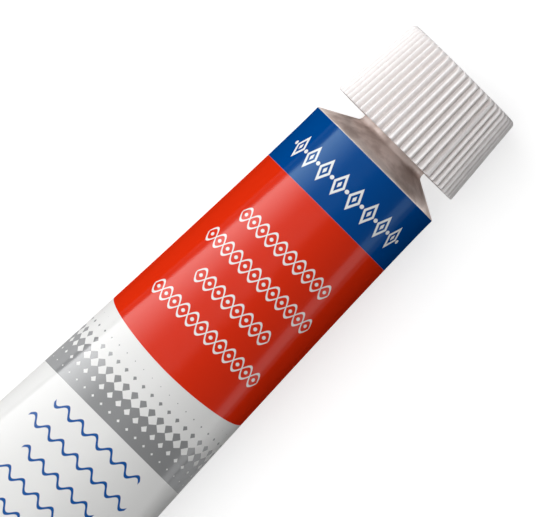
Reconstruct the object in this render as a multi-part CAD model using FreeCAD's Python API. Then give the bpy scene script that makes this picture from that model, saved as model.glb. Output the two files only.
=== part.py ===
import FreeCAD, Part
import copy
import math
import os

# A 12 ml collapsible aluminium paint tube, lying on its side with its cap on.
#
# The tube's axis runs along X: the screw cap is at +X and the folded tail at -X.
# +Z is up, the printed front faces up, and Z = 0 is the surface it lies on.
# The origin is the middle of the footprint.  While the pieces are drawn, the
# axis is X itself and x = 0 is the rim, the ring where the thin wall meets the
# shoulder; save() moves them to their place.  All sizes are millimetres.

# ---------------------------------------------------------------- tube wall
tube_r = 8.0                # outside radius at the rim
wall = 0.15                 # aluminium with its enamel and inner lacquer
round_length = 1.3          # the stiff root behind the rim that stays round
taper_length = 80.0         # rim to the flat pressed tail
tail_air = 9.6              # end of the taper that the 12 ml of paint don't reach

# How the round tube flattens: a long gentle part and a late steep part.
gentle_share = 0.63         # share of the flattening done by the gentle part
gentle_power = 1.28
steep_power = 6.0
stations = 12               # cross-sections along the taper
crowding = 1.8              # above 1, they stand closer towards the tail
rest_share = 0.6            # share of the underside that is the flat it rests on
rest_root = 0.3             # half width of that flat where it starts, behind the rim
belly_panels = 8            # straight panels on each side of the flat

# ---------------------------------------------------------------- folded tail
press_length = 1.4          # flat pressed land between the taper and the fold
seal_thickness = 0.08       # sealing compound between the two flattened walls
fold_width = 3.2            # width of the folded bar, along the tube
fold_gap = 0.06             # air left between the folded layers

# ---------------------------------------------------------------- shoulder, neck
shoulder_angle = 28.5       # slope of the shoulder cone, in degrees
shoulder_wall = 0.9
rim_round = 0.18            # rounding of the rim
neck_r = 4.12               # plain collar below the thread
neck_blend = 0.5            # fillet from the shoulder cone into the collar
collar_top = 3.5            # rim to the top of the collar
thread_core_r = 3.78        # the neck under its thread
thread_major_r = 4.45       # over the neck's thread
neck_top = 10.2             # rim to the lip of the nozzle
lip_round = 0.25
orifice_r = 2.5             # bore of the nozzle
paint_film = 0.08           # gap drawn between the paint and the wall
paint_headspace = 0.6       # lip down to the paint in the nozzle

# ---------------------------------------------------------------- screw cap
cap_skirt = 2.76            # rim to the lower edge of the cap
cap_height = 9.86
cap_step = 0.13             # the cap's ribs stand this far inside the tube's outline
cap_draft = 5.0             # taper of the cap's side, in degrees
cap_top_round = 0.55
rib_count = 54
rib_depth = 0.43
rib_share = 0.74            # share of the pitch that a rib takes from its groove
rib_crown = 0.41            # share of the depth that the rib's round crest takes
rib_panels = 4              # flat panels across a rib's crest
land_rib = 6                # one rib keeps a broad flat crest, as a moulding mark
land_crown = 0.1
sleeve_wall = 0.95          # threaded sleeve inside the skirt
thread_play = 0.1           # the sleeve's bore over the neck's thread
recess_depth = 7.0          # cored recess between the skirt and the sleeve
recess_gap = 0.36           # its width at the closed end
gate_r = 0.8                # shallow dimple left by the moulding gate
gate_depth = 0.2

# ---------------------------------------------------------------- liner
liner_thickness = 1.0
liner_play = 0.1            # the liner's edge to the sleeve's bore
liner_chamfer = 0.15

# ---------------------------------------------------------------- worked out
cap_top = cap_skirt + cap_height
cap_r = tube_r - cap_step               # over the ribs, at the lower edge
sleeve_bore_r = thread_major_r + thread_play
sleeve_r = sleeve_bore_r + sleeve_wall
sheet = 2 * wall + seal_thickness       # the flattened tail, over both walls
fold_pitch = sheet + fold_gap
tail_end = taper_length + press_length + fold_width
rim_x = (tail_end - cap_top) / 2.0
draft_slope = math.tan(math.radians(cap_draft))
shoulder_slope = math.tan(math.radians(shoulder_angle))
ORIGIN = FreeCAD.Vector(0, 0, 0)
X_AXIS = FreeCAD.Vector(1, 0, 0)


def save(shape, name):
    """Move a finished piece from the rim's frame to its place and write it."""
    shape.translate(FreeCAD.Vector(rim_x, 0, tube_r))
    if not shape.isValid() or len(shape.Solids) != 1:
        raise RuntimeError(name + " is not one valid solid")
    shape.exportStep(os.path.join("parts", name + ".step"))
    print(name, "volume", round(shape.Volume, 2), "faces", len(shape.Faces))


# ---------------------------------------------------------------- drawing helpers
def outline(path, point):
    """Closed wire through the path's corners.

    An entry is one corner, or a pair for an arc: its middle and its end.
    point() turns the two numbers of a corner into a place in space."""
    first = point(*path[0])
    here = first
    edges = []
    for entry in path[1:]:
        if isinstance(entry[0], tuple):
            there = point(*entry[1])
            edges.append(Part.Arc(here, point(*entry[0]), there).toShape())
        else:
            there = point(*entry)
            edges.append(Part.LineSegment(here, there).toShape())
        here = there
    if here.distanceToPoint(first) > 1e-7:
        edges.append(Part.LineSegment(here, first).toShape())
    return Part.Wire(edges)


def in_side_plane(x, z):
    return FreeCAD.Vector(x, 0, z)


def turned(path):
    """Revolve a closed outline of (x, radius) about the tube's axis."""
    face = Part.Face(outline(path, in_side_plane))
    return face.revolve(ORIGIN, X_AXIS, 360)


def rounded(corner, before, after, radius):
    """Fillet a corner: the tangent point on the first side, then the arc's pair."""
    back = FreeCAD.Vector(before[0] - corner[0], before[1] - corner[1], 0).normalize()
    ahead = FreeCAD.Vector(after[0] - corner[0], after[1] - corner[1], 0).normalize()
    half = back.getAngle(ahead) / 2.0
    leg = radius / math.tan(half)
    inward = (back + ahead).normalize() * (radius / math.sin(half) - radius)
    start = (corner[0] + back.x * leg, corner[1] + back.y * leg)
    middle = (corner[0] + inward.x, corner[1] + inward.y)
    end = (corner[0] + ahead.x * leg, corner[1] + ahead.y * leg)
    return [start, (middle, end)]


# ---------------------------------------------------------------- the flattening wall
def half_height(u):
    """Half the tube's height at the distance u behind the rim."""
    done = (u - round_length) / (taper_length - round_length)
    flattened = gentle_share * done ** gentle_power
    flattened += (1 - gentle_share) * done ** steep_power
    return tube_r - (tube_r - sheet / 2.0) * flattened


class Oval:
    """One flattened cross-section: a broad arc above, two end arcs, and below
    them a flat between two panelled arcs.  All are tangent to their neighbours.

    The wall bends but doesn't stretch, so the half width is found by halving
    the interval until the oval's girth is that of the round tube."""

    def __init__(self, u):
        self.x = -u
        self.b = half_height(u)
        self.end_r = max(self.b * self.b / tube_r, 0.98 * sheet / 2.0)
        self.flat_angle = 0.0
        low = tube_r
        high = 1.02 * math.pi * tube_r / 2.0
        while high - low > 1e-9:
            self.set_half_width((low + high) / 2.0)
            if self.girth() > 2 * math.pi * tube_r:
                high = self.a
            else:
                low = self.a

    def set_half_width(self, a):
        self.a = a
        self.reach = a - self.end_r
        self.flat = rest_share * self.reach
        self.upper_r, self.upper_spread = self.broad_arc(self.reach)
        self.lower_r, self.lower_spread = self.broad_arc(self.reach - self.flat)

    def broad_arc(self, reach):
        """Radius and spread of the arc from the crown to the end arc, reach away."""
        r = (reach ** 2 + self.b ** 2 - self.end_r ** 2) / (2 * (self.b - self.end_r))
        return r, math.atan2(reach, r - self.b)

    def girth(self):
        above = self.upper_r * self.upper_spread + self.end_r * (math.pi / 2 - self.upper_spread)
        below = self.lower_r * self.lower_spread + self.end_r * (math.pi / 2 - self.lower_spread)
        return 2 * (above + below + self.flat)

    def fan(self, y, z, r, start, stop, count):
        """Points on an arc of this section, at even angles from straight up."""
        points = []
        for k in range(count + 1):
            angle = start + (stop - start) * k / count
            points.append(FreeCAD.Vector(self.x, y + r * math.sin(angle), z + r * math.cos(angle)))
        return points

    def wire(self, inset):
        end_r = self.end_r - inset
        lower_r = self.lower_r - inset
        drop = self.lower_r - self.b
        shoulder = self.upper_spread
        hip = math.pi - self.lower_spread
        foot = math.pi - self.flat_angle
        above = self.fan(0, self.b - self.upper_r, self.upper_r - inset, -shoulder, shoulder, 2)
        right = self.fan(self.reach, 0, end_r, shoulder, hip, 2)
        left = self.fan(-self.reach, 0, end_r, -hip, -shoulder, 2)
        below = self.fan(self.flat, drop, lower_r, hip, foot, belly_panels)
        below += self.fan(-self.flat, drop, lower_r, -foot, -hip, belly_panels)
        edges = [Part.Arc(*above).toShape(), Part.Arc(*right).toShape()]
        for here, there in zip(below, below[1:]):
            edges.append(Part.LineSegment(here, there).toShape())
        edges.append(Part.Arc(*left).toShape())
        return Part.Wire(edges)


def round_root(first_oval):
    """The circle that the taper starts from, divided like its first oval."""
    root = copy.copy(first_oval)
    root.x = -round_length
    root.a = root.b = root.end_r = root.upper_r = root.lower_r = tube_r
    root.reach = root.flat = 0.0
    root.flat_angle = math.asin(rest_root / tube_r)
    return root


def ovals_to(u_end, count):
    span = u_end - round_length
    ovals = []
    for k in range(1, count + 1):
        ovals.append(Oval(round_length + span * (1 - (1 - k / count) ** crowding)))
    return ovals


def taper(inset, ovals):
    """The flattening part of the tube, moved inwards by the inset.

    Its sheet metal is straight from one section to the next."""
    wires = [round_root(ovals[0]).wire(inset)]
    for oval in ovals:
        wires.append(oval.wire(inset))
    return Part.makeLoft(wires, True, True)


# ---------------------------------------------------------------- the folded tail
def folded_band(thickness, half_width):
    """The pressed tail rolled over twice: down, back and in between the layers.

    The band's middle line starts at the end of the taper and keeps one fold
    pitch between its layers."""
    h = thickness / 2.0
    p = fold_pitch
    far = -tail_end + p + sheet / 2.0
    near = -(taper_length + press_length) - p / 2.0 - sheet / 2.0
    tip = far - fold_gap
    path = [
        (-taper_length, h), (far, h),
        ((far - p - h, -p), (far, -2 * p - h)),
        (near, -2 * p - h),
        ((near + p / 2.0 + h, -1.5 * p), (near, -p + h)),
        (tip, -p + h), (tip, -p - h), (near, -p - h),
        ((near + p / 2.0 - h, -1.5 * p), (near, -2 * p + h)),
        (far, -2 * p + h),
        ((far - p + h, -p), (far, -h)),
        (-taper_length, -h),
    ]
    face = Part.Face(outline(path, in_side_plane))
    face.translate(FreeCAD.Vector(0, -half_width, 0))
    return face.extrude(FreeCAD.Vector(0, 2 * half_width, 0))


# ---------------------------------------------------------------- shoulder and neck
def cone_x(r, lift):
    """Where the shoulder's cone, lifted along the axis, has the radius r."""
    return lift + (tube_r - r) * shoulder_slope


def neck_outside():
    rim = (0, tube_r)
    foot = (cone_x(neck_r, 0), neck_r)
    lip = (neck_top, thread_core_r)
    path = [(-round_length, 0), (-round_length, tube_r)]
    path += rounded(rim, (-round_length, tube_r), foot, rim_round)
    path += rounded(foot, rim, (collar_top, neck_r), neck_blend)
    path += [(collar_top, neck_r), (collar_top + neck_r - thread_core_r, thread_core_r)]
    path += rounded(lip, (collar_top, thread_core_r), (neck_top, 0), lip_round)
    path += [(neck_top, 0)]
    return turned(path)


def neck_inside(inset, top):
    """The hollow of the shoulder and the nozzle, moved inwards by the inset."""
    side = tube_r - inset
    bore = orifice_r + wall - inset
    sink = -(shoulder_wall - wall + inset) / math.cos(math.radians(shoulder_angle))
    entry = (cone_x(side, sink), side)
    throat = (cone_x(bore, sink), bore)
    path = [(-round_length, 0), (-round_length, side), entry]
    path += rounded(throat, entry, (top, bore), neck_blend)
    path += [(top, bore), (top, 0)]
    return turned(path)


def make_tube_body(ovals):
    """Impact-extruded tube: thin wall, thick shoulder, neck, and the rolled tail."""
    flat = ovals[-1].a
    outside = neck_outside().fuse([taper(0, ovals), folded_band(sheet, flat)])
    hollow = neck_inside(wall, neck_top).fuse([taper(wall, ovals), folded_band(seal_thickness, flat - wall)])
    return outside.cut(hollow).removeSplitter()


def make_tail_seal(ovals):
    """Band of sealing compound that the two flattened walls are pressed on."""
    return folded_band(seal_thickness, ovals[-1].a - wall)


def make_paint(ovals):
    inset = wall + paint_film
    end = taper_length - tail_air
    filled = [oval for oval in ovals if -oval.x < end] + [Oval(end)]
    front = neck_inside(inset, neck_top - paint_headspace)
    return front.fuse(taper(inset, filled)).removeSplitter()


# ---------------------------------------------------------------- screw cap
def cap_side_r(x):
    """Radius over the ribs at the place x."""
    return cap_r - (x - cap_skirt) * draft_slope


def rib_ring(x):
    """Corners of the ribs and grooves around the cap at the place x.

    Every ring is a scaled copy of the lowest, so panels between rings are flat."""
    scale = cap_side_r(x) / cap_r
    pitch = 2 * math.pi / rib_count
    corners = []
    for rib in range(rib_count):
        crown = land_crown if rib == land_rib else rib_crown
        for k in range(rib_panels + 1):
            across = 2.0 * k / rib_panels - 1.0
            angle = (rib + across * rib_share / 2.0) * pitch
            corners.append((angle, cap_r - rib_depth * crown * across ** 2))
        corners.append(((rib + 0.5) * pitch, cap_r - rib_depth))
    return [FreeCAD.Vector(x, scale * r * math.sin(a), scale * r * math.cos(a)) for a, r in corners]


def panel(corners):
    return Part.Face(Part.makePolygon(corners + corners[:1]))


def ribbed_cone():
    """The cap's outside from its skirt to its top, closed by flat panels."""
    low = rib_ring(cap_skirt)
    high = rib_ring(cap_top)
    faces = [panel(low), panel(high)]
    for k in range(len(low)):
        faces.append(panel([low[k - 1], low[k], high[k], high[k - 1]]))
    return Part.Solid(Part.Shell(faces))


def cap_envelope():
    """Plain turned cap just clear of the rib crests, with its edge eased by two bevels."""
    clear = 0.02
    edge_r = cap_side_r(cap_top) + clear
    bevel = cap_top_round * (1 - math.sqrt(0.5))
    return turned([
        (cap_skirt, 0), (cap_skirt, cap_r + clear),
        (cap_top - cap_top_round, edge_r + cap_top_round * draft_slope),
        (cap_top - bevel, edge_r - bevel), (cap_top, edge_r - cap_top_round),
        (cap_top, gate_r), (cap_top - gate_depth, 0),
    ])


def cap_core():
    """What the mould's core leaves empty: the sleeve's bore and the ring recess."""
    bore = turned([
        (cap_skirt, 0), (cap_skirt, sleeve_bore_r),
        (neck_top + liner_thickness, sleeve_bore_r), (neck_top + liner_thickness, 0),
    ])
    recess_end = cap_skirt + recess_depth
    closed_r = sleeve_r + recess_gap
    recess = turned([
        (cap_skirt, sleeve_r), (cap_skirt, closed_r + recess_depth * draft_slope),
        (recess_end, closed_r), (recess_end, sleeve_r),
    ])
    return bore.fuse(recess)


def make_screw_cap():
    return ribbed_cone().common(cap_envelope()).cut(cap_core())


def make_cap_liner():
    """Soft disc that the cap presses on the nozzle's lip."""
    r = sleeve_bore_r - liner_play
    top = neck_top + liner_thickness
    c = liner_chamfer
    return turned([
        (neck_top, 0), (neck_top, r - c), (neck_top + c, r), (top - c, r), (top, r - c), (top, 0),
    ])


def build():
    os.makedirs("parts", exist_ok=True)
    ovals = ovals_to(taper_length, stations)
    save(make_tube_body(ovals), "tube_body")
    save(make_tail_seal(ovals), "tail_seal")
    save(make_paint(ovals), "paint")
    save(make_screw_cap(), "screw_cap")
    save(make_cap_liner(), "cap_liner")


build()
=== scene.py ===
# %% [markdown]
# # An artists' paint tube on a white table
#
# This lesson models a 12 ml aluminium paint tube with a ribbed screw cap.  The
# packed CAD model is the skeleton: it gives the sizes, the places and the
# moving bodies.  Here each piece gets its real surface and its finish.
# Everything is worked out in millimetres from the rim, the ring where the
# printed wall meets the metal shoulder, because tube makers measure from it too.

# %% Load the packed model
import math
import bpy
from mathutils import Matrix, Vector


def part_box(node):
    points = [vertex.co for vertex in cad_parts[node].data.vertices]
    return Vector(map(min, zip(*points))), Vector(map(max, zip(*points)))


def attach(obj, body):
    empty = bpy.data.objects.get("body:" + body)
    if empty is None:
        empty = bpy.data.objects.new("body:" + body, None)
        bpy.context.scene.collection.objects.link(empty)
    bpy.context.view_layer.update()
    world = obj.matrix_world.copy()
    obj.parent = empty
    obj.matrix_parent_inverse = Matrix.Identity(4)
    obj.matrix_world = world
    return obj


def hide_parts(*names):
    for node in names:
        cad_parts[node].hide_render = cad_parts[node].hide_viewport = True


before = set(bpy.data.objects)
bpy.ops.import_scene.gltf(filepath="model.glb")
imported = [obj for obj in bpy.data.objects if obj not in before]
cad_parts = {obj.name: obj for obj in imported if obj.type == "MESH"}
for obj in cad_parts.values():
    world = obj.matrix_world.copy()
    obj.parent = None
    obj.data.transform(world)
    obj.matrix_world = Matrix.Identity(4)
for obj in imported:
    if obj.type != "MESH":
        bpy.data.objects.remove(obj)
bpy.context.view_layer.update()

# %% [markdown]
# ## From the rim's millimetres to the scene's metres
#
# The CAD node of the wall is 16 mm across, so half its height is the tube's
# radius, and its front end is the nozzle's lip, 10.2 mm in front of the rim.
# Reading both from the node keeps this script right if the packed model moves.

# %% The rim's place
MM = 0.001
wall_low, wall_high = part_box("tube_body")
tube_r = (wall_high.z - wall_low.z) / 2 / MM
neck_top = 10.2
rim_x = wall_high.x / MM - neck_top
girth = 2 * math.pi * tube_r


def placed(x, y, z):
    """A point given in mm from the rim's middle, in the scene's metres."""
    return ((x + rim_x) * MM, y * MM, (z + tube_r) * MM)


print(f"rim at x = {rim_x:.2f} mm, radius {tube_r:.2f} mm, girth {girth:.2f} mm")

# %% [markdown]
# ## A skin made of rings
#
# A collapsible tube is pressed from a slug of aluminium and a cap is moulded, but
# both are close to turned forms.  Each can be made as one closed skin: rings of
# points stand one behind another, and quads join each ring to the next.  A
# Screw modifier would make round rings only; here the rings may also be ovals,
# ribs or thread turns.  Two numbers ride on every corner of the tube's skin: how
# far it is round the tube and how far behind the rim.  The print is placed by
# them.  On the cap's skin the second number is 1 on the ribs and 0 off them.

# %% Rings about the axis
def ring_angle(share):
    """Angle about the tube's axis; share 0 is straight down, 0.5 is the front's middle."""
    return (share - 0.25) * 2 * math.pi


def turned_ring(x, r, columns):
    """A round ring of points (x, y, z) at the place x."""
    ring = []
    for k in range(columns):
        a = ring_angle(k / columns)
        ring.append((x, r * math.cos(a), r * math.sin(a)))
    return ring


lowest = min(z for x, y, z in turned_ring(0, tube_r, 4))
print(f"a ring of the tube's radius reaches down to {lowest:.1f} mm")

# %% Faces between rings
def corners_between(rings, i, j, k, columns):
    """Corners (ring, column, step round) of the face between columns k and k + 1."""
    after = (k + 1) % columns
    corners = [(i, k, k), (i, after, k + 1), (j, after, k + 1), (j, k, k)]
    if len(rings[i]) == 1:
        corners.pop(0)
    elif len(rings[j]) == 1:
        corners.pop()
    return corners


def faces_between(rings, along, closed):
    """Faces, their print map, and the ring at which each face starts."""
    columns = max(len(ring) for ring in rings)
    first = [0]
    for ring in rings:
        first.append(first[-1] + len(ring))
    faces, print_map, rows = [], [], []
    for i in range(len(rings) if closed else len(rings) - 1):
        j = (i + 1) % len(rings)
        for k in range(columns):
            corners = corners_between(rings, i, j, k, columns)
            faces.append([first[row] + min(col, len(rings[row]) - 1) for row, col, _ in corners])
            print_map += [((at / columns - 0.5) * girth, along[row]) for row, _, at in corners]
            rows.append(i)
    return faces, print_map, rows


trial = faces_between([turned_ring(0, 1, 8), turned_ring(1, 1, 8)], (0, 1), False)[0]
print(f"two rings of 8 points give {len(trial)} faces")

# %% The skin builder
crease = math.radians(40)        # edges sharper than this stay sharp in the shading


def skin(name, rings, along, closed):
    """Join rings of points into one mesh.  A ring of one point is a pole."""
    points = [placed(*point) for ring in rings for point in ring]
    faces, print_map, rows = faces_between(rings, along, closed)
    mesh = bpy.data.meshes.new(name)
    mesh.from_pydata(points, [], faces)
    layer = mesh.uv_layers.new(name="print_map")
    layer.data.foreach_set("uv", [number for pair in print_map for number in pair])
    mesh.shade_smooth()
    mesh.set_sharp_from_angle(angle=crease)
    piece = bpy.data.objects.new(name, mesh)
    bpy.context.scene.collection.objects.link(piece)
    print(f"{name}: {len(points)} points, {len(faces)} faces")
    return piece, rows


print(f"skins stay sharp over {math.degrees(crease):.0f} degrees")

# %% [markdown]
# ## How a round tube becomes flat
#
# The filled tube is round at the shoulder and pressed flat at the tail.  Its
# metal bends but doesn't stretch, so every cross-section keeps the round tube's
# girth.  Each section is a chain of arcs: one broad arc above, a tight arc at
# each side, and two broad arcs below with a flat between them.  Its half width is
# found by halving an interval until the girth comes out right.  The axis is level
# here, so the underside rises behind the rim and the tail is clear of the table.

# %% The wall's height along the taper
metal = 0.15                     # aluminium with enamel outside and lacquer inside
seal_film = 0.08
half_sheet = metal + seal_film / 2
round_root = 1.3                 # this much stays round behind the rim
taper_end = 80.0
slow_share = 0.63                # of the flattening: the rest comes close to the tail


def half_height(u):
    """Half the tube's height at the distance u behind the rim."""
    done = max(u - round_root, 0) / (taper_end - round_root)
    flattened = slow_share * done ** 1.28 + (1 - slow_share) * done ** 6
    return tube_r - (tube_r - half_sheet) * flattened


print(f"the tube is {2 * half_height(taper_end / 2):.1f} mm high half way along the taper")

# %% Arcs of one section
flat_share = 0.6                 # of the underside between the side arcs is flat
tightest_r = 0.98 * half_sheet
widest = 1.02 * math.pi * tube_r / 2    # half width of a flat sheet, and a little more
halvings = 40


def chain_of_arcs(u, half_width):
    """Half height, flat, and the arcs from straight below up one side to the top.

    Each arc is its centre (y, z), radius, and first and last angle from straight down."""
    b = half_height(u)
    end_r = max(b * b / tube_r, tightest_r)
    reach = half_width - end_r
    flat = flat_share * reach

    def broad(width):
        r = (width ** 2 + b ** 2 - end_r ** 2) / (2 * (b - end_r))
        return r, math.atan2(width, r - b)

    upper_r, upper_spread = broad(reach)
    lower_r, lower_spread = broad(reach - flat)
    arcs = [
        (flat, lower_r - b, lower_r, 0, lower_spread),
        (reach, 0, end_r, lower_spread, math.pi - upper_spread),
        (0, b - upper_r, upper_r, math.pi - upper_spread, math.pi),
    ]
    return b, flat, arcs


def half_girth(flat, arcs):
    return flat + sum(r * (last - start) for _, _, r, start, last in arcs)


def section_of_full_girth(u):
    """The chain of arcs that is as long all round as the round tube."""
    low, high = tube_r, widest
    for _ in range(halvings):
        middle = (low + high) / 2
        b, flat, arcs = chain_of_arcs(u, middle)
        if half_girth(flat, arcs) * 2 > girth:
            high = middle
        else:
            low = middle
    return b, flat, arcs


print(f"flat underside at the tail: {2 * section_of_full_girth(taper_end)[1]:.1f} mm wide")

# %% Points round a section
columns = 160                    # points round the tube
least_flattening = 1e-4          # below this a section is simply round


def oval(u, inset=0.0):
    """Points (y, z) at even steps round the section at u, moved inwards by the inset."""
    if tube_r - half_height(u) < least_flattening:
        return [point[1:] for point in turned_ring(0, tube_r - inset, columns)]
    b, flat, arcs = section_of_full_girth(u)
    step = 2 * half_girth(flat, arcs) / columns
    side = []
    for k in range(columns // 2 + 1):
        left = k * step - flat
        if left <= 0:
            side.append((k * step, inset - b))
            continue
        for y, z, r, start, last in arcs:
            if left <= r * (last - start) + 1e-9:
                break
            left -= r * (last - start)
        a = min(start + left / r, last)
        side.append((y + (r - inset) * math.sin(a), z - (r - inset) * math.cos(a)))
    return side + [(-y, z) for y, z in side[-2:0:-1]]


print(f"flat tail: {2 * max(y for y, z in oval(taper_end)):.2f} mm wide")

# %% [markdown]
# ## The folded tail
#
# After filling, the flat end is rolled over twice so that no paint gets out.
# The fold is the flat section carried along a bent centre line.  The line goes
# back, turns down and forward, and ends inside its own layers.

# %% The fold's centre line
press_length = 1.4
fold_width = 3.2
layer_air = 0.06                 # between two layers of the fold
layer_pitch = 2 * half_sheet + layer_air


def straight(start, end, z, heading, steps):
    """Places (x, z, heading) along a straight stretch, without its start."""
    return [(start + (end - start) * k / steps, z, heading) for k in range(1, steps + 1)]


def bend(x, z, r, heading, steps):
    """Places on half a turn about (x, z); a negative radius bends on the far side."""
    places = []
    for k in range(1, steps + 1):
        a = math.pi * k / steps
        places.append((x + r * math.sin(a), z - r * math.cos(a), heading + a))
    return places


def fold_line():
    """Back to the end, round and forward below, then round again into the middle."""
    p = layer_pitch
    far = -(taper_end + press_length + fold_width) + p + half_sheet
    near = -(taper_end + press_length) - p / 2 - half_sheet
    line = straight(-taper_end, far, 0, math.pi, 8)
    line += bend(far, -p, -p, math.pi, 12)
    line += straight(far, near, -2 * p, 2 * math.pi, 4)
    line += bend(near, -1.5 * p, p / 2, 2 * math.pi, 8)
    line += straight(near, far - layer_air, -p, 3 * math.pi, 4)
    return line


print(f"fold: {len(fold_line())} rings, {-2 * layer_pitch:.2f} mm below the sheet at the lowest")

# %% Rings of the fold
def fold_rings(inset):
    """The flat section at each place of the centre line, and the sheet's length there."""
    section = oval(taper_end, inset)
    rings, along = [], []
    length, here = taper_end, (-taper_end, 0)
    for x, z, heading in fold_line():
        length += math.dist(here, (x, z))
        here = (x, z)
        nx, nz = math.sin(heading), -math.cos(heading)
        rings.append([(x + nx * h, y, z + nz * h) for y, h in section])
        along.append(length)
    return rings, along


print(f"sheet in the fold: {fold_rings(0)[1][-1] - taper_end:.1f} mm")

# %% [markdown]
# ## Shoulder, neck and thread
#
# In front of the rim the tube is turned metal: a rounded rim, a low cone, a
# fillet and a plain collar, then the nozzle with a right-handed M9 class thread.
# The thread is real geometry.  Its rings stand a tenth of a millimetre apart,
# and each ring bulges where the ridge crosses it, with half a turn of fade at
# both ends.  A separate coil would leave a seam where it sinks into the neck.

# %% Rounding a profile's corners
chord = 0.12                     # points on a rounded corner stand about this far apart


def rounded_corner(before, corner, after):
    """Points (x, r) of the arc that rounds one corner (x, r, rounding)."""
    x, r, rounding = corner
    back = math.atan2(before[1] - r, before[0] - x)
    ahead = math.atan2(after[1] - r, after[0] - x)
    half = ((ahead - back + math.pi) % (2 * math.pi) - math.pi) / 2
    leg = rounding / abs(math.tan(half))
    reach = rounding / abs(math.sin(half))
    middle = (x + reach * math.cos(back + half), r + reach * math.sin(back + half))
    start = (x + leg * math.cos(back), r + leg * math.sin(back))
    end = (x + leg * math.cos(ahead), r + leg * math.sin(ahead))
    a0 = math.atan2(start[1] - middle[1], start[0] - middle[0])
    a1 = math.atan2(end[1] - middle[1], end[0] - middle[0])
    sweep = (a1 - a0 + math.pi) % (2 * math.pi) - math.pi
    steps = max(4, round(abs(sweep) * rounding / chord), round(abs(sweep) * 4))
    arc = []
    for n in range(steps + 1):
        a = a0 + sweep * n / steps
        arc.append((middle[0] + rounding * math.cos(a), middle[1] + rounding * math.sin(a)))
    return arc


def rounded_profile(corners):
    """Points (x, r) through corners (x, r, rounding); a rounding of 0 stays sharp."""
    points = []
    for k, corner in enumerate(corners):
        if corner[2]:
            points += rounded_corner(corners[k - 1], corner, corners[k + 1])
        else:
            points.append(corner[:2])
    return points


trial = rounded_profile([(0, 0, 0), (1, 0, 0.2), (1, 1, 0)])
print(f"a bend with one rounded corner: {len(trial)} points")

# %% The thread
pitch = 1.25
core_r = 3.78
crest_r = 4.4
thread_step = 0.104              # rings this far apart draw the thread
ridge_foot = 0.50                # half the ridge's width at its foot
ridge_flank = 0.40               # of that, how much is flank
thread_fade = 0.6                # length over which the ridge rises from nothing


def ridge(x, angle, first, last, shift):
    """Height of the thread's ridge, 0 to 1, at a place on the neck or in the cap."""
    turn = x / pitch - angle / (2 * math.pi) + shift
    off = abs(turn - round(turn)) * pitch
    height = min(max((ridge_foot - off) / ridge_flank, 0), 1)
    fade = min(max(min(x - first, last - x) / thread_fade, 0), 1)
    return height * fade * fade * (3 - 2 * fade)


def threaded_ring(x, r, depth, first, last, shift, count):
    """A round ring whose radius grows by the depth where the ridge crosses it."""
    ring = []
    for k in range(count):
        a = ring_angle(k / count)
        there = r + depth * ridge(x, a, first, last, shift)
        ring.append((x, there * math.cos(a), there * math.sin(a)))
    return ring


print(f"thread: {pitch} mm pitch, {crest_r - core_r:.2f} mm high")

# %% Profiles of the shoulder and the nozzle
slope = math.tan(math.radians(28.5))
cone_r = 5.9                     # where the cone may bend a little
collar_r = 4.12
collar_end = 3.5
nozzle_r = 2.5
inner_back = 1.024               # the inner cone lies this far behind the outer one
shoulder_path = rounded_profile([
    (-0.5, tube_r, 0), (0, tube_r, 0.18), ((tube_r - cone_r) * slope, cone_r, 0),
    ((tube_r - collar_r) * slope, collar_r, 0.5), (collar_end - 0.08, collar_r, 0),
    (collar_end, collar_r - 0.02, 0), (collar_end + collar_r - core_r, core_r, 0),
])
lip_path = rounded_profile([
    (neck_top - 0.5, core_r, 0), (neck_top, core_r, 0.25), (neck_top, nozzle_r + 0.1, 0.1),
    (neck_top - 0.4, nozzle_r, 0), (6.0, nozzle_r, 0),
    ((tube_r - nozzle_r) * slope - inner_back, nozzle_r, 0.5),
    (metal * slope - inner_back, tube_r - metal, 0.1), (-round_root, tube_r - metal, 0),
])
print(f"shoulder profile {len(shoulder_path)} points, lip and bore {len(lip_path)} points")

# %% [markdown]
# ## The tube as one skin
#
# The skin starts at the cut edge inside the fold and follows the outside to the
# lip.  It turns into the bore and goes back down the inside to the same edge.
# So the wall is a real sheet 0.15 mm thick with the paint inside it.  Two
# finishes lie on it: printed enamel on the outside up to the rim, and bare
# metal everywhere else.

# %% Rings of the outside
taper_rings = 72
neck_thread = (3.7, 9.7, 0)      # first and last place, and turn, of the neck's ridge


def path_lengths(points, start):
    """Distance along a profile, counted down from the start value."""
    along = [start]
    for here, there in zip(points, points[1:]):
        along.append(along[-1] - math.dist(here, there))
    return along


def taper_places():
    """Distances behind the rim at which the wall has a ring."""
    places = [round_root + 0.02]
    for k in range(1, taper_rings + 1):
        places.append(round_root + (taper_end - round_root) * k / taper_rings)
    return places


def outside_rings():
    """From the cut edge in the fold to the nozzle, with distances behind the rim."""
    tail, tail_along = fold_rings(0)
    rings, along = tail[::-1], tail_along[::-1]
    for u in reversed(taper_places()):
        rings.append([(-u, y, z) for y, z in oval(u)])
        along.append(u)
    along += path_lengths(shoulder_path, 0.5)
    rings += [turned_ring(x, r, columns) for x, r in shoulder_path]
    x = shoulder_path[-1][0] + 0.05
    while x < neck_top - 0.55:
        rings.append(threaded_ring(x, core_r, crest_r - core_r, *neck_thread, columns))
        along.append(along[-1] - thread_step)
        x += thread_step
    along += path_lengths(lip_path, along[-1] - 0.1)
    rings += [turned_ring(x, r, columns) for x, r in lip_path]
    return rings, along


rings, along = outside_rings()
outside = len(rings)
print(f"outside, lip and bore: {outside} rings")

# %% Build the tube
for u in taper_places():
    rings.append([(-u, y, z) for y, z in oval(u, metal)])
    along.append(u)
inner_tail, inner_along = fold_rings(metal)
rings += inner_tail
along += inner_along
tube, tube_rows = skin("tube", rings, along, True)

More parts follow.
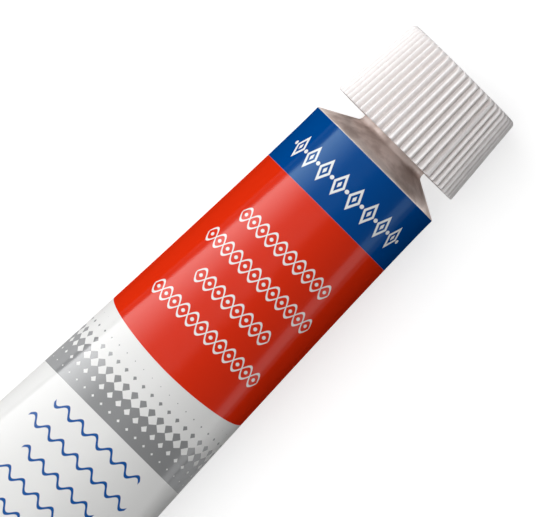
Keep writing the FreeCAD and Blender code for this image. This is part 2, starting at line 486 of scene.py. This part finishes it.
# %% [markdown]
# ## The ribbed cap
#
# The cap is moulded in white polyethylene.  It has 54 rounded ribs for grip, a
# skirt, and inside it a threaded sleeve, with a ring-shaped recess between them
# so that the plastic cools evenly.  One rib is broad and flat, which is a mark of
# its moulding.  The outline is a chain of rings again, and twelve columns of
# points to a rib draw its soft crest.

# %% Ribs and grooves
cap_skirt = 2.76
cap_top = 12.62
cap_r = tube_r - 0.13
draft = math.tan(math.radians(5.0))
ribs = 54
cap_columns = ribs * 12
rib_depth = 0.54
first_rib = -0.22                # the screwed-on cap stops at this part of a rib
land_rib = ribs - 5              # the flat rib, a moulding mark
half_land = 0.36                 # of a rib's width is filled up on either side of it
land_share = 0.2                 # of the groove's depth is left there
no_limit = 99.0


def groove_depth(angle):
    """How far the cap's surface lies below its crests at an angle: a soft wave."""
    place = (math.pi / 2 - angle) / (2 * math.pi) * ribs - first_rib
    number = round(place)
    depth = rib_depth * ((1 - math.cos(2 * math.pi * (place - number))) / 2) ** 1.25
    if number % ribs == land_rib and abs(place - number) < half_land:
        depth *= land_share
    return depth


def ribbed_ring(x, limit=no_limit, shrink=0.0):
    """A ring over crests and grooves, drawn in by the shrink and cut off at the limit."""
    side = cap_r - (x - cap_skirt) * draft
    ring = []
    for k in range(cap_columns):
        a = ring_angle(k / cap_columns)
        r = min(side * (1 - groove_depth(a) / cap_r) - shrink, limit)
        ring.append((x, r * math.cos(a), r * math.sin(a)))
    return ring


print(f"ribs: {2 * math.pi * cap_r / ribs:.2f} mm apart")

# %% Inside of the cap
bore_r = 4.55
liner_seat = neck_top + 1
ridge_r = 3.89                   # the cap's ridge reaches in between the neck's turns
cap_thread = (3.6, 9.6, 0.5)     # half a turn from the neck's ridge
sleeve_r = 5.5
recess_width = 0.36
recess_depth = 7.0
recess_end = cap_skirt + recess_depth


def inside_rings():
    """From the seat's middle down the threaded bore, over the sleeve into the recess."""
    rings = [[(liner_seat, 0, 0)]]
    rings += [turned_ring(liner_seat, r, cap_columns) for r in (2.3, 4.3, bore_r - 0.05)]
    x = liner_seat - 0.05
    while x > cap_skirt + 0.35:
        rings.append(threaded_ring(x, bore_r, ridge_r - bore_r, *cap_thread, cap_columns))
        x -= thread_step
    outer_r = sleeve_r + recess_width
    profile = rounded_profile([
        (cap_skirt + 0.3, bore_r, 0), (cap_skirt, bore_r + 0.3, 0), (cap_skirt, sleeve_r, 0.15),
        (recess_end, sleeve_r, 0.1), (recess_end, outer_r, 0.1),
        (cap_skirt, outer_r + recess_depth * draft, 0.08), (cap_skirt, sleeve_r + 1.2, 0),
    ])
    return rings + [turned_ring(x, r, cap_columns) for x, r in profile]


inner = inside_rings()
print(f"inside of the cap: {len(inner)} rings")

# %% Ribbed side of the cap
top_round = 0.55
skirt_round = 0.12
skirt_steps, side_steps, top_steps = 4, 12, 10
side_end = cap_top - top_round
edge_r = cap_r - (cap_top - cap_skirt) * draft + top_round * draft


def side_rings():
    """Skirt edge, side and top edge, with 1 on the ribs and 0 off them."""
    rings, on_ribs = [], []
    for k in range(skirt_steps + 1):
        a = math.pi / 2 * k / skirt_steps
        x = cap_skirt + skirt_round * (1 - math.cos(a))
        rings.append(ribbed_ring(x, shrink=skirt_round * (1 - math.sin(a))))
        on_ribs.append(k / skirt_steps)
    start = cap_skirt + skirt_round
    for k in range(1, side_steps + 1):
        rings.append(ribbed_ring(start + (side_end - start) * k / side_steps))
        on_ribs.append(1.0)
    for k in range(1, top_steps + 1):
        a = math.pi / 2 * k / top_steps
        x = cap_top - top_round * (1 - math.sin(a))
        rings.append(ribbed_ring(x, edge_r - top_round * (1 - math.cos(a))))
        on_ribs.append(1 - k / top_steps)
    return rings, on_ribs


sides, side_flags = side_rings()
print(f"side of the cap: {len(sides)} rings, {2 * edge_r:.1f} mm across at the top")

# %% Build the cap
dimple = ((0.03, 0.82), (0.1, 0.6), (0.18, 0.3))    # depth and radius of the gate's mark
cap_end = [turned_ring(cap_top, r, cap_columns) for r in (5.2, 3.0, 0.95)]
cap_end += [turned_ring(cap_top - depth, r, cap_columns) for depth, r in dimple]
cap_end.append([(cap_top - 0.2, 0, 0)])
on_ribs = [0.0] * len(inner) + side_flags + [0.0] * len(cap_end)
cap, _ = skin("cap", inner + sides + cap_end, on_ribs, False)

# %% [markdown]
# ## Nodes for finishes
#
# Every finish below is a Principled shader whose inputs are fed by small nodes.
# Writing each node by hand would hide the recipe.  So three small classes add
# them, each on top of the one before: plain nodes, then masks with soft edges,
# then noise, mixed colours and bumps.

# %% A shader and its nodes
class Shader:
    """One material: its Principled shader, and a short way to add nodes to it."""

    def __init__(self, name, **settings):
        self.material = bpy.data.materials.new(name)
        self.material.use_nodes = True
        self.tree = self.material.node_tree
        self.tree.nodes.clear()
        output = self.tree.nodes.new("ShaderNodeOutputMaterial")
        self.shader = self.tree.nodes.new("ShaderNodeBsdfPrincipled")
        self.tree.links.new(self.shader.outputs[0], output.inputs[0])
        for socket, value in settings.items():
            self.feed(self.shader.inputs[socket.replace("_", " ")], value)

    def feed(self, socket, value):
        if isinstance(value, bpy.types.NodeSocket):
            self.tree.links.new(value, socket)
        elif isinstance(value, tuple):
            socket.default_value = value + (1,) * (len(socket.default_value) - len(value))
        else:
            socket.default_value = value

    def set(self, name, value):
        self.feed(self.shader.inputs[name], value)

    def node(self, kind, inputs, **options):
        made = self.tree.nodes.new(kind)
        for key, value in options.items():
            setattr(made, key, value)
        for key, value in inputs.items():
            self.feed(made.inputs[key], value)
        return made

    def number(self, operation, *values):
        inputs = dict(enumerate(values))
        return self.node("ShaderNodeMath", inputs, operation=operation).outputs[0]


print("a shader can", [word for word in vars(Shader) if not word.startswith("_")])

# %% Sums and soft edges
class Masks(Shader):
    """Numbers that say how much of something lies at a place."""

    def add(self, first, second):
        return self.number("ADD", first, second)

    def minus(self, first, second):
        return self.number("SUBTRACT", first, second)

    def times(self, first, second):
        return self.number("MULTIPLY", first, second)

    def size(self, value):
        return self.number("ABSOLUTE", value)

    def distance(self, first, second):
        squares = self.add(self.times(first, first), self.times(second, second))
        return self.number("SQRT", squares)

    def soft_step(self, value, low, high):
        """0 below low, 1 above high, and smooth between."""
        inputs = {"Value": value, "From Min": low, "From Max": high}
        return self.node("ShaderNodeMapRange", inputs, interpolation_type="SMOOTHSTEP").outputs[0]

    def spread(self, value, low, high):
        """A 0 to 1 value stretched to the range low to high."""
        inputs = {"Value": value, "To Min": low, "To Max": high}
        return self.node("ShaderNodeMapRange", inputs).outputs[0]

    def window(self, value, low, high, soft):
        """1 between low and high, with soft edges."""
        rise = self.soft_step(value, low - soft / 2, low + soft / 2)
        fall = self.soft_step(value, high + soft / 2, high - soft / 2)
        return self.times(rise, fall)


print("masks are made by", [word for word in vars(Masks) if not word.startswith("_")])

# %% Places, noise, colours and relief
class Finish(Masks):
    """What a surface needs: where it is, how it varies, its colour and its bumps."""

    def print_map(self):
        """Millimetres round from the front's middle, and the skin's second number."""
        source = self.node("ShaderNodeUVMap", {}, uv_map="print_map").outputs[0]
        parts = self.node("ShaderNodeSeparateXYZ", {0: source})
        return parts.outputs[0], parts.outputs[1]

    def place(self):
        return self.node("ShaderNodeTexCoord", {}).outputs["Object"]

    def glancing(self):
        """0 where the surface faces the eye, 1 where it turns away."""
        return self.node("ShaderNodeLayerWeight", {"Blend": 0.5}).outputs["Facing"]

    def noise(self, scale, detail=2.0, vector=None):
        """Noise about 1/scale metres large."""
        inputs = {"Vector": vector or self.place(), "Scale": scale, "Detail": detail}
        return self.node("ShaderNodeTexNoise", inputs).outputs[0]

    def mix(self, share, first, second):
        mixed = self.node("ShaderNodeMix", {0: share}, data_type="RGBA")
        self.feed(mixed.inputs[6], first)
        self.feed(mixed.inputs[7], second)
        return mixed.outputs[2]

    def bump(self, height, distance, strength=1.0, normal=None):
        """Relief of a height in mm."""
        inputs = {"Height": height, "Distance": distance * MM, "Strength": strength}
        made = self.node("ShaderNodeBump", inputs)
        if normal:
            self.feed(made.inputs["Normal"], normal)
        return made.outputs["Normal"]


def wear(piece, *finishes):
    """Put finishes on a piece, in the order of its faces' numbers."""
    piece.data.materials.clear()
    for finish in finishes:
        piece.data.materials.append(finish.material)
    print(piece.name, "wears", ", ".join(finish.material.name for finish in finishes))


print("a finish adds", [word for word in vars(Finish) if not word.startswith("_")])

# %% [markdown]
# ## The printed enamel
#
# The wall is roller-coated with white enamel, then offset-printed with flat
# inks before the tube is filled.  Here each ink is a mask over the print map: 1
# where it lies and 0 elsewhere.  An image texture would fix the print's
# sharpness; masks made from numbers stay sharp at any distance.  Where a maker
# would set words this tube has ornaments: lozenges, braids and plain waves.

# %% The enamel's two coordinates
print_finish = Finish("printed_enamel", IOR=1.5)
f = print_finish
across, behind = f.print_map()
from_back = f.minus(girth / 2, f.size(across))


def union(first, second):
    return f.number("MAXIMUM", first, second)


def both(first, second):
    return f.times(first, second)


print(f"across runs from {-girth / 2:.1f} to {girth / 2:.1f} mm")

# %% [markdown]
# ## The broad fields
#
# A blue band sits under the rim.  The red field follows it and ends in one
# gentle wave round the tube.  Behind it a band of silver ink begins as dots and
# closes up into a full tone, as a halftone screen does.

# %% Blue band and red field
crisp = 0.04                     # a printed edge is soft over this much
band_end = 6.87
red_middle, red_wave = 27.6, 1.6
blue_band = f.window(behind, 0.06, band_end, crisp)
edge_wave = f.times(f.number("COSINE", f.times(across, 2 * math.pi / girth)), red_wave)
past_red = f.minus(behind, f.add(edge_wave, red_middle))
past_blue = f.soft_step(behind, band_end - crisp / 2, band_end + crisp / 2)
red_field = both(past_blue, f.soft_step(past_red, crisp / 2, -crisp / 2))
print(f"blue to {band_end} mm, red to {red_middle + red_wave:.1f} mm at the front's middle")

# %% Silver halftone
screen = 1.2                     # step of the halftone's lozenges
silver_end = 36.95


def from_middle(value):
    """Distance to the middle of the screen's cell."""
    return f.size(f.minus(f.number("MODULO", value, screen), screen / 2))


lozenge = f.add(from_middle(f.add(across, 50 * screen)), from_middle(behind))
growth = f.times(f.soft_step(past_red, 0.4, 8.2), 1.12)
silver = f.soft_step(f.minus(growth, lozenge), -0.03, 0.03)
silver = both(silver, f.window(behind, 27.0, silver_end, crisp))
silver = both(silver, f.soft_step(past_red, 0.5, 0.54))
print(f"silver: lozenges {screen} mm apart, to {silver_end} mm")

# %% [markdown]
# ## Rows of waves and braids
#
# A wave is the set of places close to a sine.  Two mirrored waves make a braid,
# and a bead sits in each of its eyes.  The rows differ in length by half a wave
# either way, so that the block looks set by hand and not cut out.

# %% Rows on the front
def rows_of_waves(sideways, spacing, first, height, wave_length, length, stroke, braided=False):
    """Wavy rows whose first stands at a distance behind the rim."""
    distance = f.minus(behind, first - spacing / 2)
    row = f.number("FLOOR", f.number("DIVIDE", distance, spacing))
    local = f.minus(f.number("MODULO", distance, spacing), spacing / 2)
    angle = f.times(sideways, 2 * math.pi / wave_length)
    wave = f.times(f.number("SINE", angle), height)
    if braided:
        local = f.size(local)
        wave = f.size(wave)
    off = f.size(f.minus(local, wave))
    mask = f.soft_step(off, stroke * 0.62, stroke * 0.42)
    if braided:
        along_eye = f.times(f.number("COSINE", angle), wave_length / (2 * math.pi))
        mask = union(mask, f.soft_step(f.distance(along_eye, local), 0.22, 0.17))
    half_waves = f.number("ROUND", f.number("SINE", f.times(row, 2.6)))
    reach = f.add(f.times(half_waves, wave_length / 2), length)
    beyond = f.minus(f.size(sideways), reach)
    return both(mask, f.soft_step(beyond, 0.06, -0.06))


braid_field = (10.7, 25.5)       # where each block of rows begins and ends
wave_field = (37.5, 53.9)
braids = rows_of_waves(across, 3.7, 12.6, 0.78, 2.6, 6.5, 0.26, braided=True)
white_rows = both(braids, f.window(behind, *braid_field, crisp))
waves = rows_of_waves(across, 2.75, 38.95, 0.42, 2.0, 6.0, 0.34)
blue_rows = both(waves, f.window(behind, *wave_field, crisp))
print("braids between", braid_field, "mm, waves between", wave_field, "mm")

# %% Fine rows and the eye mark on the back
red_back, white_back = (9.5, 24.4), (39.5, 66.9)
mark_behind, mark_across = (74.0, 78.0), (16.0, 19.0)
fine_rows = rows_of_waves(from_back, 1.25, 10.0, 0.16, 0.9, 6.3, 0.15)
white_rows = union(white_rows, both(fine_rows, f.window(behind, *red_back, crisp)))
blue_rows = union(blue_rows, both(fine_rows, f.window(behind, *white_back, crisp)))
eye_mark = both(f.window(behind, *mark_behind, crisp), f.window(across, *mark_across, crisp))
blue_rows = union(blue_rows, eye_mark)
print("fine rows between", red_back, "and", white_back, "mm, eye mark at", mark_behind)

# %% [markdown]
# ## The border in the blue band
#
# Open lozenges with a small kernel alternate with round beads.  Such borders are
# common on old tins and woven bands.

# %% Lozenges and beads
repeat = 2.1
half_long, half_wide = 1.45, 0.72
border_line = 4.0
border_reach = 8.75
from_lozenge = f.minus(f.number("MODULO", f.add(across, 29 * repeat), repeat), repeat / 2)
from_line = f.minus(behind, border_line)
share_x = f.number("DIVIDE", f.size(from_lozenge), half_wide)
share_y = f.number("DIVIDE", f.size(from_line), half_long)
diamond = f.add(share_x, share_y)
from_bead = f.minus(f.size(from_lozenge), repeat / 2)
border = union(f.window(diamond, 0.62, 1.0, 0.06), f.soft_step(diamond, 0.30, 0.24))
border = union(border, f.soft_step(f.distance(from_bead, from_line), 0.25, 0.2))
past_border = f.minus(f.size(across), border_reach)
border = both(border, f.soft_step(past_border, crisp / 2, -crisp / 2))
print(f"border: {round(2 * border_reach / repeat)} lozenges, {2 * half_long} mm long")

# %% [markdown]
# ## Inks over the enamel
#
# The masks choose between five flat colours.  The silver ink holds metal flakes,
# so it is part metallic.  The enamel has flowed out a little unevenly, and that
# shows in its gloss.  Seen at a glancing angle enamel mirrors the white table
# until its colour is lost.  Layer Weight holds that back in a render, as a
# polarising filter would, and the exported model doesn't carry it.  Over the blue
# ink the reflection is also tinted towards blue.  Both are choices for the look.
# The fold carries the ridges of the crimping jaws.

# %% Mix the inks
white = (0.83, 0.83, 0.82)
blue = (0.0, 0.058, 0.26)
red = (0.70, 0.026, 0.004)
silver_ink = (0.345, 0.35, 0.355)
line_blue = (0.008, 0.09, 0.34)
colour = f.mix(blue_band, white, blue)
colour = f.mix(both(border, blue_band), colour, white)
colour = f.mix(red_field, colour, red)
colour = f.mix(both(white_rows, red_field), colour, white)
colour = f.mix(silver, colour, silver_ink)
colour = f.mix(blue_rows, colour, line_blue)
f.set("Base Color", colour)
print("inks: white, blue, red, silver and the blue of the rows")

# %% Gloss and relief of the enamel
f.set("Roughness", f.spread(f.noise(900.0), 0.13, 0.19))
open_view = f.soft_step(f.glancing(), 0.34, 0.24)
f.set("Specular IOR Level", f.times(open_view, 0.5))
f.set("Metallic", f.times(silver, 0.25))
f.set("Specular Tint", f.mix(blue_band, (1.0, 1.0, 1.0), (0.55, 0.85, 1.0)))
jaw_step = 0.8
jaw_ridges = f.number("COSINE", f.times(across, 2 * math.pi / jaw_step))
jaw_ridges = both(jaw_ridges, f.soft_step(behind, taper_end + 1.6, taper_end + 2.0))
crimped = f.bump(jaw_ridges, 0.05, 0.8)
f.set("Normal", f.bump(f.noise(260.0, 1.0), 0.02, 0.3, normal=crimped))
print("printed enamel:", len(f.tree.nodes), "nodes")

# %% [markdown]
# ## Bare metal
#
# The shoulder and neck are left unprinted.  The metal is satin from the punch
# and the lathe: faint rings run round it, and handling has left soft blotches.
# A low edge tint keeps the cone's flank from mirroring the white table, which is
# a choice for the look too.

# %% Metal finish
metal_finish = Finish("bare_aluminium", Metallic=0.7, Specular_Tint=(0.5, 0.44, 0.41))
f = metal_finish
_, path = f.print_map()
turning = f.noise(2.2, 1.0, vector=f.node("ShaderNodeCombineXYZ", {0: path}).outputs[0])
blotches = f.soft_step(f.noise(420.0, 4.0), 0.35, 0.65)
f.set("Base Color", f.mix(blotches, (0.62, 0.51, 0.465), (0.99, 0.875, 0.825)))
f.set("Roughness", f.spread(f.noise(700.0, 2.0), 0.30, 0.42))
f.set("Normal", f.bump(turning, 0.012, 0.5))
print("bare aluminium:", len(f.tree.nodes), "nodes")

# %% Dress the tube
wear(tube, print_finish, metal_finish)
for face, row in zip(tube.data.polygons, tube_rows):
    printed = row < outside and along[row] > 0.02
    face.material_index = 0 if printed else 1
print("printed faces:", sum(face.material_index == 0 for face in tube.data.polygons))

# %% [markdown]
# ## Plastic, foam and paste
#
# The cap is satin polyethylene.  Its grooves are painted darker than the
# crests: this is painted shade, which deepens the shade between the ribs.  Its
# mirror of the table is held back at a glancing angle as the enamel's is.  Both
# are choices for the look.  The liner is a pressed foam disc.  The paste fills
# the nozzle, and sealing compound lies between the folded walls.  Those three
# keep their packed shapes and only get a finish.

# %% Cap plastic
cap_finish = Finish("white_polyethylene", IOR=1.6)
f = cap_finish
across, on_side = f.print_map()
rib_turn = f.add(f.times(across, 2 * math.pi * ribs / girth), 2 * math.pi * first_rib)
# Painted shade: the grooves on the ribbed side are darkened where shade falls between the ribs.
groove_painted_shade = f.soft_step(f.number("COSINE", rib_turn), 0.85, -0.75)
plastic = f.mix(f.noise(500.0), (0.96, 0.93, 0.925), (0.93, 0.90, 0.895))
# The darker colour (0.74, 0.69, 0.675) mixed into the grooves is painted shade.
f.set("Base Color", f.mix(f.times(groove_painted_shade, on_side), plastic, (0.74, 0.69, 0.675)))
f.set("Specular IOR Level", f.spread(f.soft_step(f.glancing(), 0.55, 0.25), 0.0, 0.5))
f.set("Roughness", f.spread(f.noise(1500.0), 0.24, 0.3))
f.set("Normal", f.bump(f.noise(2600.0, 1.0), 0.005, 0.15))
wear(cap, cap_finish)

# %% Foam, paste and sealant
def grainy(name, roughness, colour_scale, light, dark):
    """A plain finish whose colour wanders between two close tones."""
    finish = Finish(name, Roughness=roughness)
    finish.set("Base Color", finish.mix(finish.noise(*colour_scale), light, dark))
    return finish


f = grainy("pressed_foam", 0.8, (3000.0, 4.0), (0.82, 0.82, 0.79), (0.70, 0.70, 0.67))
f.set("Normal", f.bump(f.noise(4500.0, 4.0), 0.05, 0.6))
wear(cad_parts["cap_liner"], f)

f = grainy("paint_paste", 0.25, (600.0, 3.0), (0.74, 0.035, 0.012), (0.66, 0.025, 0.01))
f.set("Normal", f.bump(f.noise(500.0, 3.0), 0.15, 0.5))
wear(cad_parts["paint"], f)

f = grainy("dull_sealant", 0.6, (1200.0, 3.0), (0.10, 0.09, 0.08), (0.16, 0.15, 0.13))
wear(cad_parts["tail_seal"], f)

# %% [markdown]
# ## Which body carries which piece
#
# The tube's skin stands for the CAD wall and lies still.  The cap's skin stands
# for the CAD cap: it turns on the liner's body, which lifts along the thread.

# %% Attach the pieces
for piece, body, node, slot in (
    (tube, "tube", "tube_body", "enamelled_tube"),
    (cap, "cap", "screw_cap", "cap_plastic"),
):
    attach(piece, body)
    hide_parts(node)
    print(f"{piece.name} rides on {body} and stands for {node}")


# %% [markdown]
# ## Table, light and camera
#
# The tube lies on a white table.  The table glows a little for the camera and in
# reflections only, so it looks white and doesn't light the tube.  On the tube's
# left stands a softbox made of strips, the lowest of them the brightest.  Its
# picture in the curved wall is a streak with one sharp edge that fades towards
# the top, and that makes the enamel look glossy.  A weaker box on the right gives
# a second, fainter streak.  A box high above lights everything evenly and is kept
# out of the reflections.  The camera looks straight down through a long lens, so
# there is next to no perspective, and it is turned so that the tube lies aslant.

# %% The table
table_half = 4                   # metres: wider than any view of it
floor_mesh = bpy.data.meshes.new("floor")
edge = [(-1, -1), (1, -1), (1, 1), (-1, 1)]
floor_points = [(x * table_half, y * table_half, 0) for x, y in edge]
floor_mesh.from_pydata(floor_points, [], [(0, 1, 2, 3)])
floor = bpy.data.objects.new("floor", floor_mesh)
bpy.context.scene.collection.objects.link(floor)
print(f"table: {2 * table_half} m square")

# %% The table's white
floor_finish = Finish("floor_white", Roughness=0.9, Specular_IOR_Level=0.0,
                      Base_Color=(0.5, 0.5, 0.5), Emission_Color=(1.0, 1.0, 1.0))
f = floor_finish
rays = f.node("ShaderNodeLightPath", {}).outputs
mirrored = f.add(rays["Is Glossy Ray"], rays["Is Transmission Ray"])
seen = f.number("MINIMUM", f.add(rays["Is Camera Ray"], mirrored), 1.0)
f.set("Emission Strength", f.times(seen, 0.68))
wear(floor, floor_finish)

# %% A softbox
def softbox(name, at, aim, width, height, radiance):
    """An area lamp with a given radiance; at 1 it looks just white in a mirror."""
    lamp = bpy.data.lights.new(name, "AREA")
    lamp.shape = "RECTANGLE"
    lamp.size, lamp.size_y = width, height
    lamp.energy = radiance * math.pi * width * height
    box = bpy.data.objects.new(name, lamp)
    bpy.context.scene.collection.objects.link(box)
    box.location = at
    box.rotation_euler = (Vector(aim) - Vector(at)).to_track_quat("-Z", "Y").to_euler()
    box.visible_camera = False
    print(f"{name}: {lamp.energy:.3f} W")
    return box


# %% Key, fill and overhead
aim = (0.02, 0, 0.011)
key_distance, key_width = 0.26, 0.22
key_radiance = 4.1               # just above the table; it falls to nothing at the top
key_low, key_high, key_strips = math.radians(12), math.radians(62), 8
key_spread = (key_high - key_low) / key_strips
for k in range(key_strips):
    share = (k + 0.5) / key_strips
    height = key_low + (key_high - key_low) * share
    tall = 2 * key_distance * math.tan(key_spread / 2)
    away, up = key_distance * math.cos(height), key_distance * math.sin(height)
    at = (aim[0], away, aim[2] + up)
    softbox(f"left_strip_{k}", at, aim, key_width, tall, key_radiance * (1 - share))
softbox("right_box", (0.02, -0.5, 0.13), aim, width=0.4, height=0.16, radiance=0.8)
above, below = (0.02, 0.28, 1.2), (0.02, 0, 0)
overhead = softbox("overhead_box", above, below, width=0.9, height=0.9, radiance=4.2)
overhead.visible_glossy = False

# %% The room's own light
world = bpy.data.worlds.new("studio")
bpy.context.scene.world = world
world.use_nodes = True
room = world.node_tree.nodes["Background"]
room.inputs["Color"].default_value = (1, 1, 1, 1)
room.inputs["Strength"].default_value = 0.08
print("room light:", round(room.inputs["Strength"].default_value, 2))

# %% The camera
camera_data = bpy.data.cameras.new("camera")
camera_data.lens = 1200
camera_data.sensor_width = 36
camera_data.clip_end = 20
camera = bpy.data.objects.new("camera", camera_data)
bpy.context.scene.collection.objects.link(camera)
camera.location = (0.02260, 0.00010, 1.853)
camera.rotation_euler = (0, 0, math.radians(-45))
bpy.context.scene.camera = camera
bpy.context.scene.view_settings.view_transform = "Standard"
print(f"camera {camera.location.z:.2f} m above the table, {camera_data.lens:.0f} mm lens")
